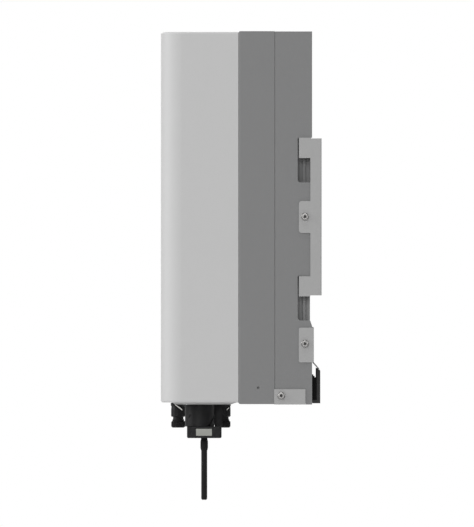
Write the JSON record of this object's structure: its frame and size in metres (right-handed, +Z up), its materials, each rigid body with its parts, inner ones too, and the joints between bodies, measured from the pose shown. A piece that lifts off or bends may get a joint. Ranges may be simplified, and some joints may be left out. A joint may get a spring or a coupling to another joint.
{
  "type": "string inverter",
  "caption": "Wall-hung string inverter with light grey housing, finned heat-sink bay, wall bracket, string connectors, rotary DC switch and plug-in antenna stick.",
  "frame": {"origin": "on the wall, in the middle of the wall bracket's bolt pattern", "axes": "+Z up, -Y out of the wall towards the front, +X to the right as seen from the front"},
  "size_m": [0.3798, 0.1615, 0.4711],
  "materials": {
    "light_casting": "light grey powder coat",
    "dark_casting": "dark grey powder coat",
    "sink_metal": "dark grey anodised",
    "light_sheet": "grey powder coat on steel sheet",
    "black_plastic": "black moulded polyamide",
    "black_rubber": "black rubber",
    "screw_steel": "bright zinc",
    "label_film": "blank light label",
    "window_film": "smoked window",
    "clear_plastic": "clear light guide",
    "board_laminate": "green laminate",
    "contact_metal": "tinned contact",
    "wire_jacket": "black insulated wire",
    "capacitor_sleeve": "dark sleeve",
    "film_box": "yellow box",
    "pad_silicone": "grey thermal pad",
    "can_metal": "bare aluminium",
    "coil_copper": "enamelled copper"
  },
  "bodies": {
    "inverter": {"front_housing": "light_casting", "status_window": "window_film", "light_guide": "clear_plastic", "status_board": "board_laminate", "housing_gasket": "black_rubber", "chassis_frame": "dark_casting", "sink_gasket": "black_rubber", "heat_sink": "sink_metal", "sink_fins": "sink_metal", "side_covers": "dark_casting", "housing_screws": "screw_steel", "wall_bracket": "light_sheet", "side_screws": "screw_steel", "lower_spacer": "light_sheet", "spacer_strip": "black_rubber", "spacer_buffers": "black_rubber", "bottom_guard": "light_sheet", "guard_screws": "screw_steel", "dc_connectors": "black_plastic", "dc_connector_nuts": "black_plastic", "dc_caps": "black_rubber", "dc_contacts": "contact_metal", "dc_leads": "wire_jacket", "port_seals": "black_rubber", "switch_base": "black_plastic", "switch_body": "black_plastic", "ac_receptacle": "black_plastic", "ac_nut": "black_plastic", "ac_pins": "contact_metal", "ac_leads": "wire_jacket", "comm_socket": "black_plastic", "comm_socket_nut": "black_plastic", "stick_body": "black_plastic", "stick_label": "label_film", "stick_cover": "black_plastic", "stick_board": "board_laminate", "antenna_base": "black_rubber", "antenna_rod": "black_rubber", "breather_vent": "black_plastic", "ground_screw": "screw_steel", "power_board": "board_laminate", "power_modules": "black_plastic", "thermal_pads": "pad_silicone", "dc_link_capacitors": "capacitor_sleeve", "film_capacitors": "film_box", "relays": "black_plastic", "current_sensors": "black_plastic", "terminal_blocks": "black_plastic", "inductor_cans": "can_metal", "inductor_coils": "coil_copper", "board_posts": "screw_steel", "board_screws": "screw_steel", "control_board": "board_laminate", "control_chips": "black_plastic", "control_posts": "board_laminate"},
    "dc_switch": {"switch_knob": "black_plastic", "switch_shaft": "screw_steel"},
    "ac_cap": {"ac_cap": "black_plastic"},
    "stick_ring": {"stick_ring": "black_plastic"},
    "stick_button": {"stick_button": "black_rubber"}
  },
  "joints": [
    {"name": "dc_switch_turn", "type": "hinge", "parent": "inverter", "child": "dc_switch", "pos_m": [-0.145, -0.119, -0.1884], "axis": [0, 0, -1], "range_deg": [0, 90]},
    {"name": "ac_cap_turn", "type": "hinge", "parent": "inverter", "child": "ac_cap", "pos_m": [0.075, -0.119, -0.1884], "axis": [0, 0, -1], "range_deg": [0, 45]},
    {"name": "stick_ring_turn", "type": "hinge", "parent": "inverter", "child": "stick_ring", "pos_m": [0.135, -0.1226, -0.1884], "axis": [0, 0, -1], "range_deg": [0, 40]},
    {"name": "stick_button_press", "type": "slide", "parent": "inverter", "child": "stick_button", "axis": [0, 0, 1], "range_m": [0, 0.0008], "stiffness_N_per_m": 500, "springref_m": -0.001}
  ]
}
